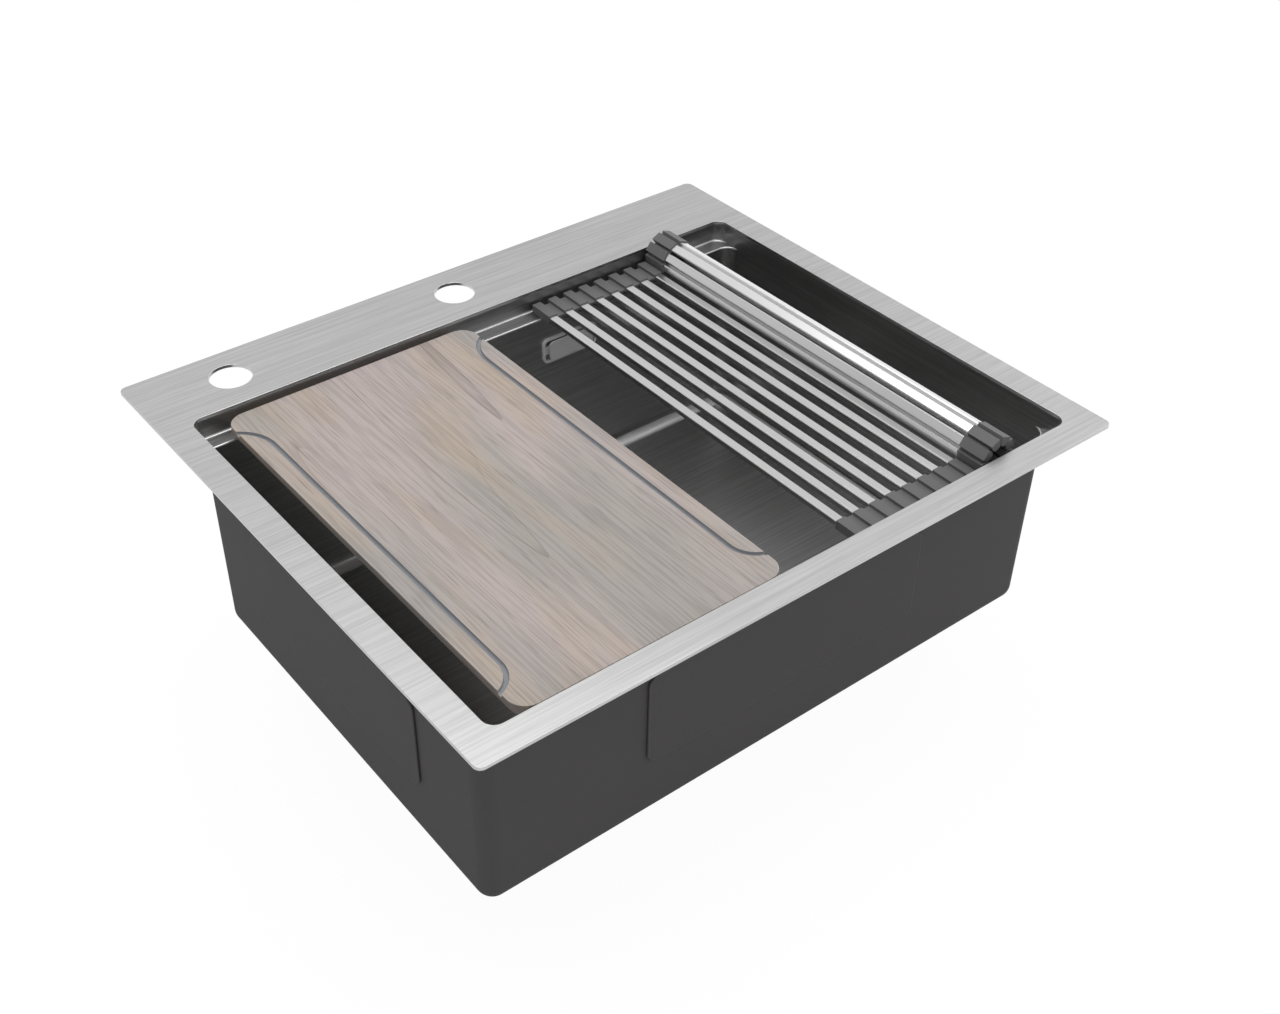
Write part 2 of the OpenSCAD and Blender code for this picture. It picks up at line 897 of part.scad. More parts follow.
module clip_arm(i) {
    color([0.65, 0.65, 0.65])
        translate([clips[i - 1][0], clips[i - 1][1], arm_top - arm_t])
            rotate(clips[i - 1][2])
                difference() {
                    union() {
                        cylinder(arm_t, r = arm_r);
                        translate([0, -arm_r, 0])
                            cube([arm_l, 2 * arm_r, arm_t]);
                        translate([arm_l - toe_l, -arm_r, arm_t])
                            cube([toe_l, 2 * arm_r, toe_h]);
                    }
                    translate([0, 0, -overrun])
                        cylinder(arm_t + 2 * overrun, r = stud_r + fit_gap);
                }
}

// Cutting board

// Section of a groove below the board's top, with bevelled lower edges
module groove_section() {
    half_w = groove_w / 2;
    bevel = groove_w / 4;
    polygon([
        [-half_w, overrun],
        [-half_w, bevel - groove_depth],
        [bevel - half_w, -groove_depth],
        [half_w - bevel, -groove_depth],
        [half_w, bevel - groove_depth],
        [half_w, overrun]
    ]);
}

// A groove's end: nearly a quarter turn out to the right, towards the front
module groove_turn(r) {
    translate([r, 0, 0])
        rotate(180)
            rotate_extrude(angle = groove_sweep)
                translate([r, 0])
                    groove_section();
}

// One groove on the right side: straight, and turned out through the side at both ends
module groove() {
    back_y = board_d / 2 - groove_back_stop;
    front_y = groove_front_stop - board_d / 2;
    translate([board_w / 2 - groove_inset, 0, 0]) {
        translate([0, back_y, 0])
            rotate([90, 0, 0])
                linear_extrude(back_y - front_y)
                    groove_section();
        translate([0, front_y, 0])
            groove_turn(groove_front_r);
        translate([0, back_y, 0])
            mirror([0, 1, 0])
                groove_turn(groove_back_r);
    }
}

module board() {
    color([0.62, 0.58, 0.53])
        translate([board_x, board_y, board_bottom])
            difference() {
                slab(board_w, board_d, board_t, board_r);
                for (side = [0, 1])
                    mirror([side, 0, 0]) {
                        translate([0, 0, board_t])
                            groove();
                        translate([board_w / 2, board_d / 2 + overrun, 0])
                            rotate([90, 0, 0])
                                linear_extrude(board_d + 2 * overrun)
                                    polygon([
                                        [-grip_w - overrun * grip_w / grip_h, -overrun],
                                        [overrun, -overrun],
                                        [overrun, grip_h + overrun * grip_h / grip_w],
                                    ]);
                    }
            }
}

// Rack: each bar is a steel tube held at both ends by silicone sleeves

// A bar's outline, with its four corners cut off
module bar_section() {
    half_w = bar_w / 2;
    half_h = bar_h / 2;
    polygon([
        [-half_w, -half_h + bar_edge],
        [-half_w + bar_edge, -half_h],
        [half_w - bar_edge, -half_h],
        [half_w, -half_h + bar_edge],
        [half_w, half_h - bar_edge],
        [half_w - bar_edge, half_h],
        [-half_w + bar_edge, half_h],
        [-half_w, half_h - bar_edge]
    ]);
}

module steel_bar() {
    translate([0, rack_y + rack_d / 2 - sleeve_end_t, 0])
        rotate([90, 0, 0])
            linear_extrude(rack_d - 2 * sleeve_end_t)
                difference() {
                    bar_section();
                    square([bar_w - 2 * bar_wall, bar_h - 2 * bar_wall], center = true);
                }
}

// A sleeve closed at its outer end; side is 1 at the back and -1 at the front
module sleeve(side, taper) {
    half_w = sleeve_w / 2;
    half_h = sleeve_h / 2;
    translate([0, rack_y + side * rack_d / 2, 0])
        rotate([side * 90, 0, 0])
            mirror([0, side < 0 ? 1 : 0, 0])
                difference() {
                    linear_extrude(sleeve_l)
                        polygon([
                            [-half_w, -half_h],
                            [half_w, -half_h],
                            [half_w, half_h - taper * taper_h],
                            [half_w - taper * taper_w, half_h],
                            [-half_w + taper * taper_w, half_h],
                            [-half_w, half_h - taper * taper_h]
                        ]);
                    translate([0, 0, sleeve_end_t])
                        linear_extrude(sleeve_l)
                            bar_section();
                }
}

module rack_bars() {
    color([0.80, 0.80, 0.80])
        for (i = [0:flat_bars - 1])
            translate([last_flat_x - i * flat_pitch, 0, bar_z])
                steel_bar();
}

module flat_sleeves(side) {
    gap = flat_pitch - sleeve_w;
    color([0.42, 0.42, 0.43])
        for (i = [0:flat_bars - 1])
            translate([last_flat_x - i * flat_pitch, 0, bar_z]) {
                sleeve(side, 0);
                if (i > 0)
                    translate([flat_pitch / 2, rack_y + side * (rack_d / 2 - web_inset / 2 - sleeve_l / 2), 0])
                        cube([gap, sleeve_l - web_inset, web_t], center = true);
            }
}

module rack_sleeves_back() {
    flat_sleeves(1);
}

module rack_sleeves_front() {
    flat_sleeves(-1);
}

// Places a piece of link i, drawn flat from its hinge along X
module in_link(i) {
    p = pivot(i);
    translate([p[0], 0, p[1]])
        rotate([0, -travel(i), 0])
            translate([roll_pitch / 2, 0, 0])
                children();
}

module roll_bar(i) {
    color([0.80, 0.80, 0.80])
        in_link(i)
            steel_bar();
}

module roll_sleeves(i) {
    web_l = roll_pitch / 2 - sleeve_w / 2 + hinge_web_tip;
    color([0.42, 0.42, 0.43])
        in_link(i)
            for (side = [-1, 1]) {
                sleeve(side, 1);
                translate([
                    -sleeve_w / 2 - web_l / 2,
                    rack_y + side * (rack_d / 2 - web_inset / 2 - sleeve_l / 2),
                    0
                ])
                    cube([web_l, sleeve_l - web_inset, hinge_web_t], center = true);
            }
}

rim_deck();
rim_seal();
bowl();
undercoat();
pad_front();
pad_back();
pad_left();
pad_right();
pad_floor_left();
pad_floor_right();
overflow_frame();
overflow_cover();
overflow_screws();
overflow_gasket();
overflow_housing();
overflow_hose();
hose_nut_top();
hose_nut_bottom();
waste_flange();
waste_upper_seal();
waste_lower_seal();
waste_body();
waste_screw();
basket();
basket_seal();
basket_knob();
clip_studs();
clip_nuts();
for (i = [1:len(clips)])
    clip_arm(i);
board();
rack_bars();
rack_sleeves_back();
rack_sleeves_front();
for (i = [1:roll_links]) {
    roll_bar(i);
    roll_sleeves(i);
}
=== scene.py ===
# %% [markdown]
# # A workstation sink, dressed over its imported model
# The sink is one drop-in steel bowl with ledges at the front and the back. A cutting board and
# a roll-up rack lie on the ledges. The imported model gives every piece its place, but its edges
# are knife sharp and its curves are flat facets. This lesson rounds the edges, rebuilds the
# bent sheet and gives each piece its finish, and leaves every place as it is.

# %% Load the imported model
import json
import math

import bmesh
import bpy
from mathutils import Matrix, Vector

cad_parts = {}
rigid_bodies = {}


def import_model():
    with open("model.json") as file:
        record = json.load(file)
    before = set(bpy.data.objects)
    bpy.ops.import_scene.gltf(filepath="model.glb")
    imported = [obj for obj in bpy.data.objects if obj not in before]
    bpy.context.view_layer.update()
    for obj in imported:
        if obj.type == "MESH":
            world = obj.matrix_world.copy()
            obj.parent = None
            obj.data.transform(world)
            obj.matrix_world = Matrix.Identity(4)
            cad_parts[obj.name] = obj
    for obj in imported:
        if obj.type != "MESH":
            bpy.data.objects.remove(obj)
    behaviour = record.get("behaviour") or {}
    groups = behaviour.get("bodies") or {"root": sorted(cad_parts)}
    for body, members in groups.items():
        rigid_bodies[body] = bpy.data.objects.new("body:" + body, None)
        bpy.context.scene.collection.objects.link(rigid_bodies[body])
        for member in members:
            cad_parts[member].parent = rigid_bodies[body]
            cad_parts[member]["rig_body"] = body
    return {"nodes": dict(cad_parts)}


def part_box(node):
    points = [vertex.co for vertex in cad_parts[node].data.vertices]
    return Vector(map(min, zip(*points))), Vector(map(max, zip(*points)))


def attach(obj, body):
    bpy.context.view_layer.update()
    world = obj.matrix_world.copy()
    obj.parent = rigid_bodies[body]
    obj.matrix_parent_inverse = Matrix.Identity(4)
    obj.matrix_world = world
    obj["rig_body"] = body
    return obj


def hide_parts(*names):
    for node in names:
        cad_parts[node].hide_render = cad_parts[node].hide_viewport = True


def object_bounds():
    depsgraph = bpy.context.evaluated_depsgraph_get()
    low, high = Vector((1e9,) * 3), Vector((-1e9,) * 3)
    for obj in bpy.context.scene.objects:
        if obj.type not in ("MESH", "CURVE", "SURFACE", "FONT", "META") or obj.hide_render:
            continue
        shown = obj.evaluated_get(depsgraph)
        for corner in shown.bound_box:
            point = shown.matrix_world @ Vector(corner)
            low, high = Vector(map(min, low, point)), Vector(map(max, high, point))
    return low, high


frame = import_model()
cad_low, cad_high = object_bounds()
nodes = frame["nodes"]
MM = 0.001

# %% [markdown]
# ## The camera
# The picture was taken from the front left, above the rim. Any view from there would show the
# sink. This one's place, turn and lens come from lines of the rim and the bowl, so that the
# render can be laid over the photograph.

# %% Camera
camera_place = Vector((-632.0, -814.6, 714.9)) * MM
camera_tilt = math.radians(90 - 38.6)
camera_turn = math.radians(-37.43)
camera_lens = 44.87
camera_shift = (0.0317, 0.0087)

camera = bpy.data.objects.new("camera", bpy.data.cameras.new("camera"))
bpy.context.scene.collection.objects.link(camera)
camera.location = camera_place
camera.rotation_euler = (camera_tilt, 0, camera_turn)
camera.data.lens = camera_lens
camera.data.shift_x, camera.data.shift_y = camera_shift
camera.data.clip_end = 50
bpy.context.scene.camera = camera
print("camera at", tuple(camera_place))

# %% [markdown]
# ## Places that several pieces share
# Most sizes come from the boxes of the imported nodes. Typed numbers would do for this one
# model, but with the boxes a changed model still gets fitting pieces.

# %% Shared places
def span(node):
    low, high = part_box(node)
    return Vector(low), Vector(high)


rim_low, rim_high = span("rim_deck")
bowl_low, bowl_high = span("bowl")
coat_low, coat_high = span("undercoat")
sheet = 1.0 * MM
coat_skin = 0.6 * MM
ledge_drop = 20 * MM
bowl_corner = 12 * MM
opening_corner = 10 * MM
opening_half = bowl_high.x - sheet
opening_front = bowl_low.y + sheet
opening_back = bowl_high.y - sheet
wall_front = coat_low.y + coat_skin + sheet
wall_back = coat_high.y - coat_skin - sheet
floor_top = bowl_low.z + sheet
# A hair of room keeps the ledges clear of the board and the rack that lie on them.
touch_gap = 0.03 * MM
ledge_top = rim_high.z - ledge_drop - touch_gap
waste_centre = Vector((0, (wall_front + wall_back) / 2, 0))
waste_hole = 45 * MM
print("bowl floor at", round(floor_top, 4), "ledge at", round(ledge_top, 4))

# %% [markdown]
# ## Turning points into pieces
# A new piece is a mesh at the origin whose points are in the object's own frame. It rides on a
# body, takes its material, and hides the imported node it stands for.


def add_piece(name, mesh, node, material):
    piece = bpy.data.objects.new(name, mesh)
    bpy.context.scene.collection.objects.link(piece)
    piece.data.materials.clear()
    piece.data.materials.append(material)
    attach(piece, nodes[node]["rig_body"])
    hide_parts(node)
    return piece


# %% [markdown]
# ## Soft edges
# No sheet or moulding has a knife edge: a small round catches the light and draws the thin
# bright lines that the picture shows. The imported solid is copied, its flat faces are joined,
# and a Bevel modifier rounds every edge that is sharper than the facets of its curves. Hands
# and cloths polish the edges first, so the rounded faces take a second, worn finish, which is
# also lighter in tone: a painted highlight along the edges. Weighted normals keep the wide
# faces flat beside them. A material can fake a round edge too, but the exported mesh would keep its
# sharp one.

# %% Rounded copy of a imported solid
facet_angle = math.radians(25)
flat_angle = math.radians(0.4)
weld_distance = 0.002 * MM


def joined_mesh(node, name):
    bm = bmesh.new()
    bm.from_mesh(nodes[node].data)
    bmesh.ops.remove_doubles(bm, verts=bm.verts, dist=weld_distance)
    bmesh.ops.dissolve_limit(bm, angle_limit=flat_angle, verts=bm.verts, edges=bm.edges)
    mesh = bpy.data.meshes.new(name)
    bm.to_mesh(mesh)
    bm.free()
    for face in mesh.polygons:
        face.use_smooth = True
    return mesh


def flatten_wide_faces(piece):
    weighted = piece.modifiers.new("flat_faces", "WEIGHTED_NORMAL")
    weighted.mode = "FACE_AREA"
    weighted.weight = 100


def rounded(node, edge, finish, segments=2):
    name = node + "_rounded"
    body_finish, worn_highlight_finish = finish
    piece = add_piece(name, joined_mesh(node, name), node, body_finish)
    piece.data.materials.append(worn_highlight_finish)
    bevel = piece.modifiers.new("soft_edges", "BEVEL")
    bevel.width = edge
    bevel.segments = segments
    bevel.limit_method = "ANGLE"
    bevel.angle_limit = facet_angle
    # The bevel faces take the lighter worn copy: wear and a painted highlight.
    bevel.material = 1
    flatten_wide_faces(piece)
    return piece


def rounded_count():
    return sum(thing.name.endswith("_rounded") for thing in bpy.data.objects)


# %% [markdown]
# ## Edges that differ
# Where one piece has sharp and round edges, bevel weights say how round each edge gets. Two
# pieces with one round each would do it too, but with a seam between them. A function gives
# the share of the full round at a point of the edge.

# %% Edge weights
def weigh_edges(piece, share_at):
    bm = bmesh.new()
    bm.from_mesh(piece.data)
    weight = bm.edges.layers.float.new("bevel_weight_edge")
    for edge in bm.edges:
        if edge.calc_face_angle(0) >= facet_angle:
            edge[weight] = share_at((edge.verts[0].co + edge.verts[1].co) / 2)
    bm.to_mesh(piece.data)
    bm.free()
    piece.modifiers["soft_edges"].limit_method = "WEIGHT"


# %% [markdown]
# ## Node helpers
# A material is a small tree. These helpers place a node with its settings and wire it, so the
# lines below read as a recipe. Every finish here mixes tones, and takes its roughness and its
# bumps from one fine grain, so two more helpers do that for all of them.

# %% Node helpers
def put(tree, kind, values=None, **settings):
    node = tree.nodes.new("ShaderNode" + kind)
    for key, value in settings.items():
        setattr(node, key, value)
    for key, value in (values or {}).items():
        node.inputs[key].default_value = value
    return node


def wire(tree, source, out, target, into):
    tree.links.new(source.outputs[out], target.inputs[into])


def new_group(name, inputs, outputs):
    tree = bpy.data.node_groups.new(name, "ShaderNodeTree")
    for label, kind, value in inputs:
        made = tree.interface.new_socket(name=label, in_out="INPUT", socket_type=kind)
        made.default_value = value
    for label, kind in outputs:
        tree.interface.new_socket(name=label, in_out="OUTPUT", socket_type=kind)
    start = tree.nodes.new("NodeGroupInput")
    end = tree.nodes.new("NodeGroupOutput")
    return tree, start, end


def use_group(tree, group, **values):
    node = tree.nodes.new("ShaderNodeGroup")
    node.node_tree = group
    for key, value in values.items():
        node.inputs[key].default_value = value
    return node


def new_material(name, metallic, roughness):
    material = bpy.data.materials.new(name)
    material.use_nodes = True
    tree = material.node_tree
    shader = tree.nodes["Principled BSDF"]
    shader.inputs["Metallic"].default_value = metallic
    shader.inputs["Roughness"].default_value = roughness
    return material, tree, shader


def mixed(tree, first, second, mask, out):
    mix = put(tree, "Mix", {"A": (*first, 1), "B": (*second, 1)}, data_type="RGBA")
    wire(tree, mask, out, mix, "Factor")
    return mix


def add_grain(tree, shader, source, out, rough, strength, depth):
    rough_map = put(tree, "MapRange", {"To Min": rough[0], "To Max": rough[1]})
    wire(tree, source, out, rough_map, "Value")
    wire(tree, rough_map, "Result", shader, "Roughness")
    bump = put(tree, "Bump", {"Strength": strength, "Distance": depth})
    wire(tree, source, out, bump, "Height")
    wire(tree, bump, "Normal", shader, "Normal")


# %% [markdown]
# ## Brushed steel
# A belt drags fine grit along the sheet, so the marks are long one way and short the other.
# Noise that is stretched along the belt's way gives them. On a wall that faces left or right
# the belt ran from front to back, so the group swaps the axes there. Lengthwise at 1 swaps
# them everywhere, for a bar that runs from front to back. An anisotropic shader gives such a
# sheen too, but it is lost when the material is baked.

# %% Brush marks group
FLOAT = "NodeSocketFloat"
side_facing = 0.7

brush_marks, start, end = new_group(
    "brush marks",
    [("Along", FLOAT, 24.0), ("Across", FLOAT, 1400.0), ("Lengthwise", FLOAT, 0.0)],
    [("Fine", FLOAT), ("Broad", FLOAT)],
)
where = put(brush_marks, "NewGeometry")
place = put(brush_marks, "SeparateXYZ")
facing = put(brush_marks, "SeparateXYZ")
side_wall = put(brush_marks, "Math", operation="ABSOLUTE")
is_side = put(brush_marks, "Math", {1: side_facing}, operation="GREATER_THAN")
turned = put(brush_marks, "Math", operation="MAXIMUM")
long_way = put(brush_marks, "Mix", data_type="FLOAT")
cross_way = put(brush_marks, "Mix", data_type="FLOAT")
coords = put(brush_marks, "TexCoord")
wire(brush_marks, coords, "Object", place, "Vector")
wire(brush_marks, where, "True Normal", facing, "Vector")
wire(brush_marks, facing, "X", side_wall, 0)
wire(brush_marks, side_wall, 0, is_side, 0)
wire(brush_marks, is_side, 0, turned, 0)
wire(brush_marks, start, "Lengthwise", turned, 1)
for mix, first, second in ((long_way, "X", "Y"), (cross_way, "Y", "X")):
    wire(brush_marks, turned, 0, mix, "Factor")
    wire(brush_marks, place, first, mix, "A")
    wire(brush_marks, place, second, mix, "B")
joined = put(brush_marks, "CombineXYZ")
for source, out, amount, axis in (
    (long_way, "Result", "Along", "X"),
    (cross_way, "Result", "Across", "Y"),
    (place, "Z", "Across", "Z"),
):
    scaled = put(brush_marks, "Math", operation="MULTIPLY")
    wire(brush_marks, source, out, scaled, 0)
    wire(brush_marks, start, amount, scaled, 1)
    wire(brush_marks, scaled, 0, joined, axis)
fine = put(brush_marks, "TexNoise", {"Scale": 1.0, "Detail": 2.0, "Roughness": 0.6})
broad = put(brush_marks, "TexNoise", {"Scale": 0.30, "Detail": 1.0})
for noise, label in ((fine, "Fine"), (broad, "Broad")):
    wire(brush_marks, joined, "Vector", noise, "Vector")
    wire(brush_marks, noise, "Fac", end, label)
print("brush nodes:", len(brush_marks.nodes))

# %% Steel recipe
mark_depth = 0.02 * MM
broad_share = 0.5
# This gain lightens the rounded edges: partly wear, partly a painted highlight.
wear_and_highlight_gain = 1.18
worn_rough_share = 0.8
white_cap = 0.98


def steel(name, tones, rough, lengthwise=0.0, strength=0.35, metallic=1.0):
    material, tree, shader = new_material(name, metallic, rough[0])
    marks = use_group(tree, brush_marks, Lengthwise=lengthwise)
    blend = put(tree, "Math", {1: 1 - broad_share}, operation="MULTIPLY_ADD")
    some_broad = put(tree, "Math", {1: broad_share}, operation="MULTIPLY")
    wire(tree, marks, "Broad", some_broad, 0)
    wire(tree, marks, "Fine", blend, 0)
    wire(tree, some_broad, 0, blend, 2)
    tone = put(tree, "MapRange", {"From Min": 0.36, "From Max": 0.64})
    wire(tree, blend, 0, tone, "Value")
    dark, light = ([value] * 3 for value in tones)
    colour = mixed(tree, dark, light, tone, "Result")
    wire(tree, colour, "Result", shader, "Base Color")
    add_grain(tree, shader, marks, "Fine", rough, strength, mark_depth)
    return material


def steel_with_worn_highlight_edge(name, tones, rough, **settings):
    # The edge copy is lighter and smoother: wear, and a painted highlight along the edge.
    bright = [min(tone * wear_and_highlight_gain, white_cap) for tone in tones]
    smooth = [value * worn_rough_share for value in rough]
    return (
        steel(name, tones, rough, **settings),
        steel(name + " worn edge painted highlight", bright, smooth, **settings),
    )


rim_steel = steel_with_worn_highlight_edge("rim steel", (0.57, 0.70), (0.34, 0.42))
# The bowl's steel is a darker copy of the rim's: painted shade inside the bowl.
shaded_bowl_steel = steel("bowl steel painted darker", (0.39, 0.53), (0.27, 0.36))
# The bends' steel is lighter and half metallic: a painted highlight along each bend.
bend_highlight_steel = steel("bowl bend painted highlight steel", (0.84, 0.92), (0.18, 0.26), metallic=0.5)
bar_steel = steel_with_worn_highlight_edge("bar steel", (0.80, 0.85), (0.26, 0.32), lengthwise=1.0, strength=0.15)
plate_steel = steel_with_worn_highlight_edge("overflow plate steel", (0.90, 0.96), (0.38, 0.46), metallic=0.10)
frame_steel = steel_with_worn_highlight_edge("overflow frame steel", (0.94, 0.98), (0.30, 0.38), metallic=0.0)
waste_steel = steel_with_worn_highlight_edge("waste steel", (0.66, 0.72), (0.14, 0.22))
clip_steel = steel_with_worn_highlight_edge("zinc plated steel", (0.46, 0.56), (0.35, 0.5))
print("steels:", [material.name for material in bpy.data.materials if "steel" in material.name])

# %% [markdown]
# ## Sprayed coat, rubber and plastic
# The bowl's outside is sprayed dark grey against drumming. Such a coat is a little uneven, like
# orange peel. Rubber, silicone and moulded plastic differ from it in grain and tone. Each
# could have noises of its own, but one group of two serves them all, at a scale for each.

# %% Mottle group
mottle, start, end = new_group(
    "mottle",
    [("Grain", FLOAT, 900.0), ("Cloud", FLOAT, 14.0)],
    [("Grain height", FLOAT), ("Cloud tone", FLOAT)],
)
coords = put(mottle, "TexCoord")
for label, target, detail in (("Grain", "Grain height", 2.0), ("Cloud", "Cloud tone", 3.0)):
    noise = put(mottle, "TexNoise", {"Detail": detail})
    wire(mottle, coords, "Object", noise, "Vector")
    wire(mottle, start, label, noise, "Scale")
    wire(mottle, noise, "Fac", end, target)
print("mottle nodes:", len(mottle.nodes))

# %% Moulded and sprayed finishes
grain_strength = 0.4
foam_depth = 0.1 * MM
rough_spread = 0.06
worn_smoothing = 0.08


def matt(name, colour, roughness, grain=900.0, depth=mark_depth, spread_share=0.12):
    material, tree, shader = new_material(name, metallic=0.0, roughness=roughness)
    texture = use_group(tree, mottle, Grain=grain)
    dark = [channel * (1 - spread_share) for channel in colour]
    light = [channel * (1 + spread_share) for channel in colour]
    tone = mixed(tree, dark, light, texture, "Cloud tone")
    wire(tree, tone, "Result", shader, "Base Color")
    rough = (roughness - rough_spread, roughness + rough_spread)
    add_grain(tree, shader, texture, "Grain height", rough, grain_strength, depth)
    return material


def matt_with_worn_highlight_edge(name, colour, roughness, **settings):
    # The edge copy is paler and smoother: wear, and a painted highlight along the edge.
    pale = [tone * wear_and_highlight_gain for tone in colour]
    return (
        matt(name, colour, roughness, **settings),
        matt(name + " worn edge painted highlight", pale, roughness - worn_smoothing, **settings),
    )


coat_tone = (0.073, 0.069, 0.072)
coat_finish = matt_with_worn_highlight_edge("sprayed coat", coat_tone, 0.75, grain=700.0, spread_share=0.05)
foam_finish = matt_with_worn_highlight_edge("foam", (0.06, 0.06, 0.065), 0.9, grain=1500.0, depth=foam_depth)
rubber_finish = matt_with_worn_highlight_edge("black rubber", (0.025, 0.025, 0.025), 0.7)
plastic_finish = matt_with_worn_highlight_edge("black plastic", (0.028, 0.028, 0.030), 0.45, grain=1600.0)
hose_finish = matt("hose plastic", (0.50, 0.50, 0.49), 0.45, grain=600.0)
silicone_finish = matt_with_worn_highlight_edge("grey silicone", (0.140, 0.140, 0.142), 0.55, grain=1200.0)
# A darker grey for the grooves: painted shade in the recesses.
groove_painted_shade = matt("groove painted shade", (0.31, 0.32, 0.34), 0.6, grain=800.0)
print("materials so far:", len(bpy.data.materials))

# %% [markdown]
# ## Limed oak
# The board is oak with its grain from front to back. Its tone wanders between grey, pink and
# straw. Fine fibres lie side by side, open pores are short dark strokes, and the growth rings
# meet the surface as a few thin wavy lines. Contours of a slow, stretched noise give such
# lines. A picture of wood would show one real figure, but these noises fit a board of any size.

# %% Oak group
cloud_along_share = 0.26
ring_along_share = 0.09
fibre_along_share = 0.025
ring_width_share = 0.07


def stretched(tree, source, along):
    way = put(tree, "VectorMath", operation="MULTIPLY")
    way.inputs[1].default_value = (1.0, along, 1.0)
    wire(tree, source, "Object", way, 0)
    return way


oak_grain, start, end = new_group(
    "oak grain",
    [("Rings", FLOAT, 7.0)],
    [("Hue", FLOAT), ("Cloud", FLOAT), ("Lines", FLOAT), ("Pores", FLOAT), ("Fibre", FLOAT)],
)
coords = put(oak_grain, "TexCoord")
cloud_way = stretched(oak_grain, coords, cloud_along_share)
ring_way = stretched(oak_grain, coords, ring_along_share)
fibre_way = stretched(oak_grain, coords, fibre_along_share)
hue = put(oak_grain, "TexNoise", {"Scale": 13.0, "Detail": 1.0, "Distortion": 0.4})
cloud = put(oak_grain, "TexNoise", {"Scale": 20.0, "Detail": 1.2, "Roughness": 0.5})
growth = put(oak_grain, "TexNoise", {"Scale": 8.0, "Detail": 2.2, "Distortion": 0.25})
patch = put(oak_grain, "TexNoise", {"Scale": 17.0, "Detail": 1.0})
fibre = put(oak_grain, "TexNoise", {"Scale": 620.0, "Detail": 0.6, "Roughness": 0.5})
pores = put(oak_grain, "TexNoise", {"Scale": 1000.0, "Detail": 1.0})
for way, noises in (
    (cloud_way, (hue, cloud)),
    (ring_way, (growth, patch)),
    (fibre_way, (fibre, pores)),
):
    for noise in noises:
        wire(oak_grain, way, "Vector", noise, "Vector")
ring_count = put(oak_grain, "Math", operation="MULTIPLY")
ring_step = put(oak_grain, "Math", operation="FRACT")
fade_out = {"From Min": 0.0, "From Max": ring_width_share, "To Min": 1.0, "To Max": 0.0}
ring_edge = put(oak_grain, "MapRange", fade_out)
some_patches = put(oak_grain, "MapRange", {"From Min": 0.45, "From Max": 0.62})
ring_lines = put(oak_grain, "Math", operation="MULTIPLY")
wire(oak_grain, growth, "Fac", ring_count, 0)
wire(oak_grain, start, "Rings", ring_count, 1)
wire(oak_grain, ring_count, 0, ring_step, 0)
wire(oak_grain, ring_step, 0, ring_edge, "Value")
wire(oak_grain, patch, "Fac", some_patches, "Value")
wire(oak_grain, ring_edge, "Result", ring_lines, 0)
wire(oak_grain, some_patches, "Result", ring_lines, 1)
wire(oak_grain, ring_lines, 0, end, "Lines")
for noise, label in ((hue, "Hue"), (cloud, "Cloud"), (pores, "Pores"), (fibre, "Fibre")):
    wire(oak_grain, noise, "Fac", end, label)
print("oak nodes:", len(oak_grain.nodes))

# %% Oak material
oak_grey = (0.400, 0.372, 0.345)
oak_pink = (0.500, 0.428, 0.408)
oak_straw = (0.490, 0.400, 0.318)
oak_line = (0.150, 0.120, 0.115)
oak_rough = (0.48, 0.64)
fibre_strength = 0.3
fibre_depth = 0.1 * MM
# This gain lightens the oak's rounded edges: partly wear, partly a painted highlight.
oak_wear_and_highlight_gain = 1.25


def layered(tree, below, colour, grain, label, low, high, strength):
    mask = put(tree, "MapRange", {"From Min": low, "From Max": high, "To Max": strength})
    wire(tree, grain, label, mask, "Value")
    mix = mixed(tree, colour, colour, mask, "Result")
    wire(tree, below, "Result", mix, "A")
    return mix


def oak(name, gain):
    material, tree, shader = new_material(name, metallic=0.0, roughness=0.55)
    grain = use_group(tree, oak_grain)
    grey, pink, straw = ([tone * gain for tone in wood] for wood in (oak_grey, oak_pink, oak_straw))
    spread = put(tree, "MapRange", {"From Min": 0.40, "From Max": 0.60})
    wire(tree, grain, "Hue", spread, "Value")
    wood = mixed(tree, grey, pink, spread, "Result")
    # Each layer has its colour, its mask, where the mask starts and is full, and its strength.
    for colour, label, low, high, strength in (
        (straw, "Cloud", 0.50, 0.68, 0.8),
        (oak_line, "Lines", 0.0, 1.0, 0.5),
        (oak_line, "Fibre", 0.54, 0.42, 0.21),
        (oak_line, "Pores", 0.40, 0.32, 0.34),
    ):
        wood = layered(tree, wood, colour, grain, label, low, high, strength)
    wire(tree, wood, "Result", shader, "Base Color")
    add_grain(tree, shader, grain, "Fibre", oak_rough, fibre_strength, fibre_depth)
    return material


oak_finish = (oak("limed oak", 1.0), oak("limed oak worn edge painted highlight", oak_wear_and_highlight_gain))
print("materials so far:", len(bpy.data.materials))

# %% [markdown]
# ## The bent sheet of the bowl
# The real bowl is folded from sheet: every bend has a small radius that shows as a bright line.
# The hollow could be cut out of a block, but its small bends would be a few hard facets. So the
# inside is lofted through rounded rectangles, from the rim down over the ledges and the floor's
# round edge, and on to the waste hole. A Solidify modifier gives the sheet its thickness.

# %% Loft helpers
corner_steps = 10
side_steps = 8


